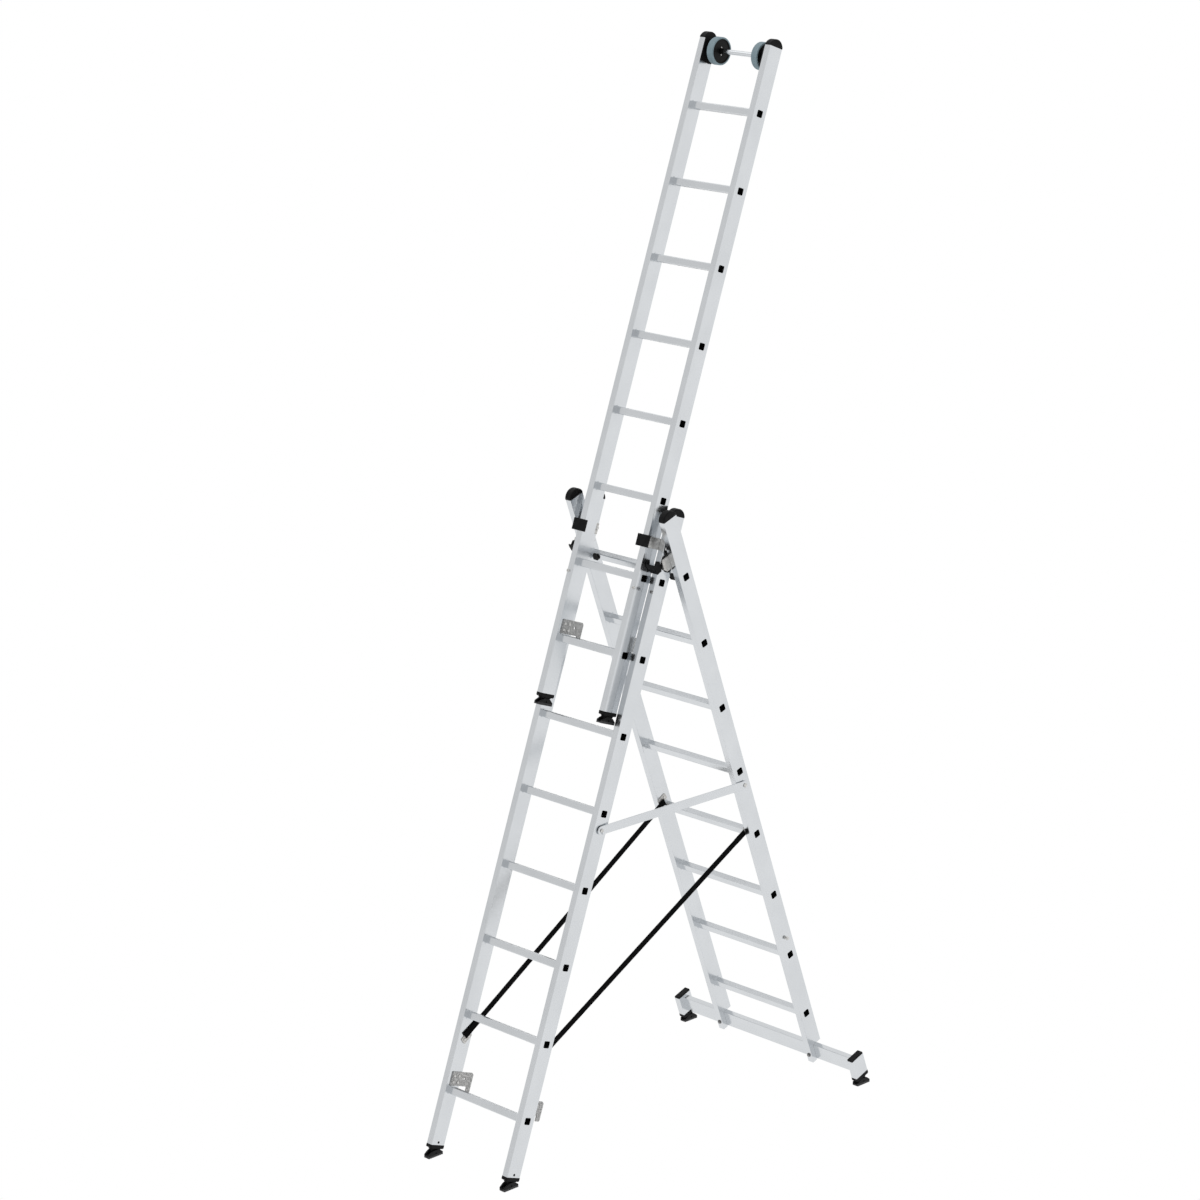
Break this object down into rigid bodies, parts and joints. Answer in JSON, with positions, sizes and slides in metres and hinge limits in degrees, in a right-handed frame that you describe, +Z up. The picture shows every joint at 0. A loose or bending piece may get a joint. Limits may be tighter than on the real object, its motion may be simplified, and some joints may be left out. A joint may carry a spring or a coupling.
{
  "type": "combination ladder",
  "caption": "Aluminium three-part combination ladder standing as an A-frame with its narrow top section run out, wall rollers and a wide stabiliser bar.",
  "frame": {"origin": "on the ground under the middle of the ladder's box", "axes": "+X along the rungs to the right, +Y from the front leg to the rear leg, +Z up"},
  "size_m": [0.932, 1.6632, 3.9294],
  "materials": {
    "extruded_aluminium": "bright extruded",
    "black_plastic": "moulded, satin",
    "pad_rubber": "matte",
    "zinc_plate": "zinc plated",
    "steel_fastener": "zinc plated",
    "grey_tyre": "soft grey tread",
    "black_webbing": "woven polyester"
  },
  "bodies": {
    "rear": {"rear_stile_left": "extruded_aluminium", "rear_stile_right": "extruded_aluminium", "rear_rungs": "extruded_aluminium", "rear_rung_plugs": "black_plastic", "rear_stile_caps": "black_plastic", "stabiliser_bar": "extruded_aluminium", "stabiliser_end_tubes": "extruded_aluminium", "stabiliser_end_caps": "black_plastic", "stabiliser_bolts": "steel_fastener", "rear_foot_sockets": "black_plastic", "rear_foot_pins": "steel_fastener", "hinge_plates": "zinc_plate", "fold_buffers": "black_plastic", "rear_rivets": "steel_fastener", "rear_strap_tabs": "zinc_plate", "spreader_rivet": "steel_fastener", "parking_stud": "steel_fastener", "strap_left": "black_webbing", "strap_right": "black_webbing"},
    "front": {"front_stile_left": "extruded_aluminium", "front_stile_right": "extruded_aluminium", "front_rungs": "extruded_aluminium", "front_rung_plugs": "black_plastic", "front_stile_caps": "black_plastic", "front_foot_sockets": "black_plastic", "front_foot_pins": "steel_fastener", "hinge_bolts": "steel_fastener", "hinge_spacers": "black_plastic", "guide_straps": "zinc_plate", "guide_pads": "black_plastic", "guide_bolts": "steel_fastener", "side_guides": "black_plastic", "stop_screws": "steel_fastener", "front_hook_plates": "zinc_plate", "front_rivets": "steel_fastener", "front_strap_tabs": "zinc_plate", "spreader_stud": "steel_fastener"},
    "top": {"top_stile_left": "extruded_aluminium", "top_stile_right": "extruded_aluminium", "top_rungs": "extruded_aluminium", "top_rung_plugs": "black_plastic", "top_stile_caps": "black_plastic", "top_foot_sockets": "black_plastic", "top_foot_pins": "steel_fastener", "top_hook_plates": "zinc_plate", "top_rivets": "steel_fastener", "roller_bearing_plates": "black_plastic", "roller_axle": "extruded_aluminium"},
    "left_roller": {"left_roller_hub": "black_plastic", "left_roller_tyre": "grey_tyre"},
    "right_roller": {"right_roller_hub": "black_plastic", "right_roller_tyre": "grey_tyre"},
    "spreader": {"spreader_bar": "extruded_aluminium"},
    "front_left_pad": {"front_left_foot_pad": "pad_rubber"},
    "front_right_pad": {"front_right_foot_pad": "pad_rubber"},
    "rear_left_pad": {"rear_left_foot_pad": "pad_rubber"},
    "rear_right_pad": {"rear_right_foot_pad": "pad_rubber"},
    "top_left_pad": {"top_left_foot_pad": "pad_rubber"},
    "top_right_pad": {"top_right_foot_pad": "pad_rubber"}
  },
  "joints": [
    {"name": "fold", "type": "hinge", "parent": "rear", "child": "front", "pos_m": [0, -0.0232, 2.12688], "axis": [1, 0, 0], "range_deg": [0, 40], "deforming": ["strap_left", "strap_right"]},
    {"name": "top_slide", "type": "slide", "parent": "front", "child": "top", "axis": [0, 0.3404, 0.9403], "range_m": [-1.68, 0]},
    {"name": "left_roller_spin", "type": "hinge", "parent": "top", "child": "left_roller", "pos_m": [0, 0.55663, 3.86419], "axis": [1, 0, 0], "continuous": true},
    {"name": "right_roller_spin", "type": "hinge", "parent": "top", "child": "right_roller", "pos_m": [0, 0.55663, 3.86419], "axis": [1, 0, 0], "continuous": true},
    {"name": "spreader_swing", "type": "hinge", "parent": "rear", "child": "spreader", "pos_m": [0.25, 0.34586, 1.24599], "axis": [0.9995, -0.0257, 0.0176], "range_deg": [0, 109.2]},
    {"name": "front_left_pad_tilt", "type": "hinge", "parent": "front", "child": "front_left_pad", "pos_m": [-0.198, -0.79707, 0.013], "axis": [1, 0, 0], "range_deg": [-41.9, 2.1]},
    {"name": "rear_left_pad_tilt", "type": "hinge", "parent": "rear", "child": "rear_left_pad", "pos_m": [-0.452, 0.79707, 0.013], "axis": [1, 0, 0], "range_deg": [-1.9, 42.1]},
    {"name": "top_left_pad_tilt", "type": "hinge", "parent": "top", "child": "top_left_pad", "pos_m": [-0.158, -0.27413, 1.61038], "axis": [1, 0, 0], "range_deg": [-22, 22]},
    {"name": "front_right_pad_tilt", "type": "hinge", "parent": "front", "child": "front_right_pad", "pos_m": [0.198, -0.79707, 0.013], "axis": [1, 0, 0], "range_deg": [-41.9, 2.1]},
    {"name": "rear_right_pad_tilt", "type": "hinge", "parent": "rear", "child": "rear_right_pad", "pos_m": [0.452, 0.79707, 0.013], "axis": [1, 0, 0], "range_deg": [-1.9, 42.1]},
    {"name": "top_right_pad_tilt", "type": "hinge", "parent": "top", "child": "top_right_pad", "pos_m": [0.158, -0.27413, 1.61038], "axis": [1, 0, 0], "range_deg": [-22, 22]}
  ],
  "couplings": [
    {"joint": "spreader_swing", "follows": "fold", "ratio": 2.7276}
  ]
}
